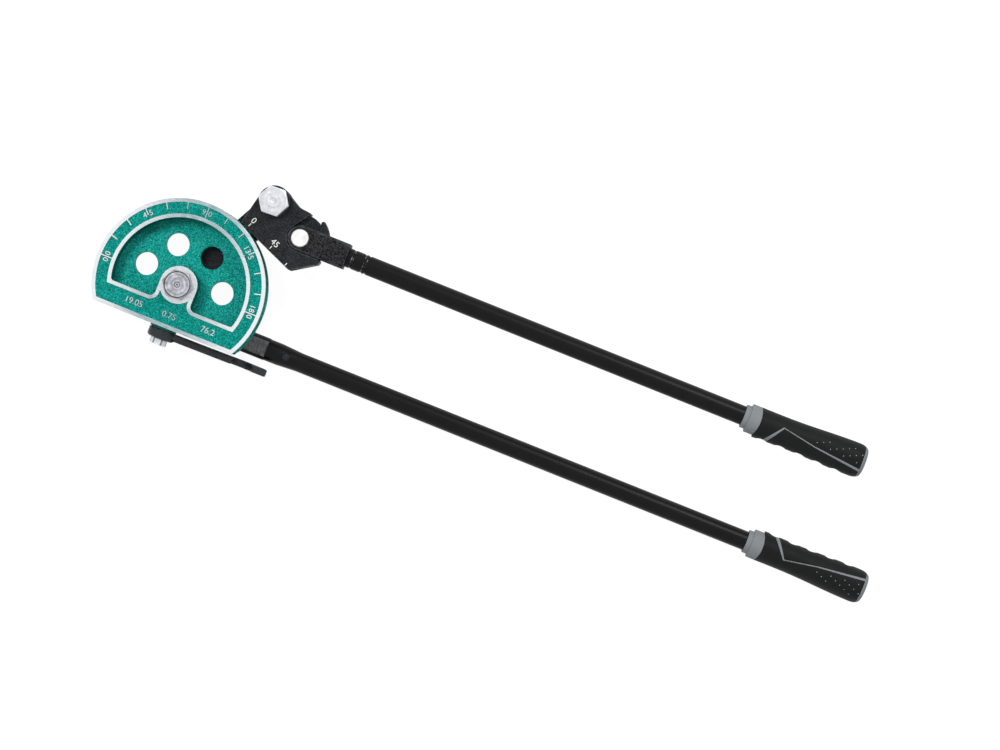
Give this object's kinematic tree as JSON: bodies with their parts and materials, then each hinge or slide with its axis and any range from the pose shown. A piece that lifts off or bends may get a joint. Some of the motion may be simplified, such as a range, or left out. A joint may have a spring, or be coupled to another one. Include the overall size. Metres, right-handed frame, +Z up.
{
  "type": "lever tube bender",
  "caption": "Lever tube bender with a grooved half-round forming wheel and dial, a hinged forming shoe on a link arm, two long gripped handles and a swinging tube latch.",
  "frame": {"origin": "on the forming wheel's pivot axis, on the bench that the tool lies on, at the lower end of the pivot bolt", "axes": "+X along the fixed handle towards its grip, +Y towards the moving handle, +Z up out of the wheel's dial"},
  "size_m": [0.7393, 0.1693, 0.075],
  "materials": {
    "teal_paint": "hammered paint with machined edges",
    "zinc": "bright zinc plate",
    "black_steel": "black oxide",
    "black_tube": "satin black",
    "bronze": "sintered bronze",
    "grey_grip": "matt grey",
    "black_grip": "matt soft grip"
  },
  "bodies": {
    "frame": {"forming_wheel": "teal_paint", "pivot_bolt": "zinc", "thrust_washer": "zinc", "pivot_washer": "zinc", "pivot_nut": "zinc", "fixed_tang": "black_steel", "tang_pins": "zinc", "fixed_tube": "black_tube", "tube_rivet": "black_steel", "fixed_grip_core": "grey_grip", "fixed_grip_palm": "black_grip", "fixed_grip_fingers": "black_grip", "latch_bolt": "zinc"},
    "latch": {"tube_latch": "black_steel"},
    "link": {"link_arm": "black_steel", "link_bush": "bronze", "shoe_bolt": "zinc", "shoe_washer": "black_steel", "shoe_spacer": "zinc", "link_washer": "zinc", "shoe_nut": "zinc"},
    "shoe": {"forming_shoe": "black_steel", "shoe_bush": "bronze"},
    "handle": {"handle_knuckle": "black_steel", "handle_pin": "zinc", "moving_tube": "black_tube", "moving_grip_core": "grey_grip", "moving_grip_palm": "black_grip", "moving_grip_fingers": "black_grip"}
  },
  "joints": [
    {"name": "link_swing", "type": "hinge", "parent": "frame", "child": "link", "pos_m": [0, 0, 0.049], "axis": [0, 0, 1], "range_deg": [-63, 117]},
    {"name": "shoe_open", "type": "hinge", "parent": "link", "child": "shoe", "pos_m": [0.05037, 0.09891, 0.049], "axis": [0, 0, 1], "range_deg": [0, 60]},
    {"name": "handle_reposition", "type": "hinge", "parent": "shoe", "child": "handle", "pos_m": [0.08296, 0.07762, 0.049], "axis": [0, 0, 1], "range_deg": [0, 55]},
    {"name": "latch_swing", "type": "hinge", "parent": "frame", "child": "latch", "pos_m": [0, -0.0445, 0.049], "axis": [0, -1, 0], "range_deg": [0, 196]}
  ]
}
